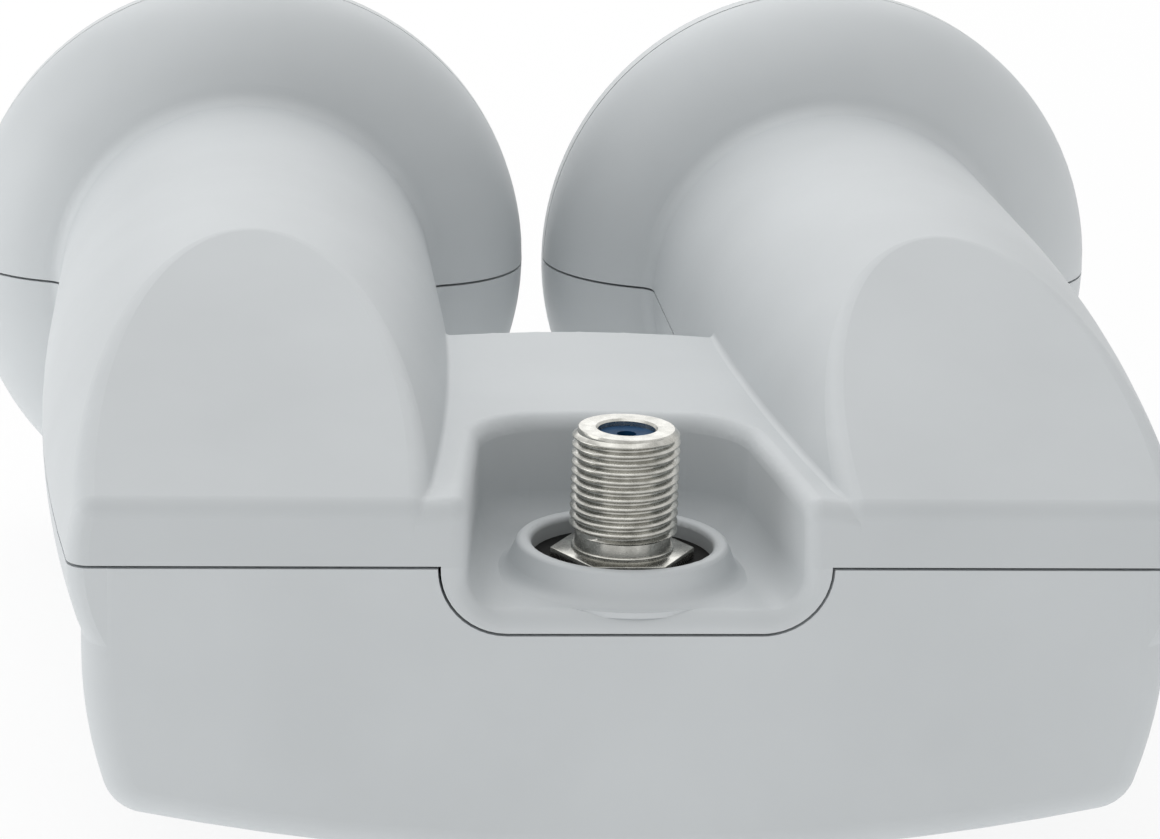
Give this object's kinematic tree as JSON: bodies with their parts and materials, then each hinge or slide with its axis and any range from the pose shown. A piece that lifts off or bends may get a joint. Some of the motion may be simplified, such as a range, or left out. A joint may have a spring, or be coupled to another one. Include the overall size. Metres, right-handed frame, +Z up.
{
  "type": "satellite lnb",
  "caption": "Twin-feed satellite dish converter: flared horns on round necks joined to a flat moulded body, with a threaded coaxial socket in a pocket at the back.",
  "frame": {"origin": "bottom centre of the bounding box", "axes": "+Y from the body's rear panel towards the horn fronts, +X from the left horn to the right horn as seen from behind, +Z up along the coaxial connector"},
  "size_m": [0.1264, 0.117, 0.062],
  "materials": {
    "shell_plastic": "light cool grey moulded plastic with a fine satin grain",
    "cap_plastic": "light cool grey moulded plastic, satin",
    "seal_rubber": "black moulded rubber",
    "die_cast_metal": "die cast metal, dull as cast",
    "board_laminate": "green solder mask on laminate",
    "screw_steel": "zinc plated steel",
    "probe_brass": "bright drawn wire",
    "sleeve_plastic": "white insulating plastic",
    "chip_resin": "black moulded resin",
    "crystal_can": "plated lid",
    "coil_ferrite": "dark grey ferrite",
    "capacitor_ceramic": "tan ceramic",
    "connector_nickel": "nickel plated turned brass",
    "insulator_blue": "dark blue moulded plastic"
  },
  "bodies": {
    "root": {"upper_shell": "shell_plastic", "lower_shell": "shell_plastic", "front_cap_left": "cap_plastic", "front_cap_right": "cap_plastic", "cap_seal_left": "seal_rubber", "cap_seal_right": "seal_rubber", "waveguide_casting": "die_cast_metal", "circuit_board": "board_laminate", "shield_cover": "die_cast_metal", "shield_gasket": "seal_rubber", "shield_screws": "screw_steel", "straight_probe_left": "probe_brass", "straight_probe_right": "probe_brass", "cross_probe_left": "probe_brass", "cross_probe_right": "probe_brass", "probe_sleeves": "sleeve_plastic", "converter_chip_left": "chip_resin", "converter_chip_right": "chip_resin", "crystal_left": "crystal_can", "crystal_right": "crystal_can", "switch_chip": "chip_resin", "regulator": "chip_resin", "amplifier_transistors": "chip_resin", "filter_coils": "coil_ferrite", "capacitors": "capacitor_ceramic", "connector_barrel": "connector_nickel", "connector_insulator": "insulator_blue", "connector_contact": "probe_brass", "connector_seal": "seal_rubber"}
  },
  "joints": []
}
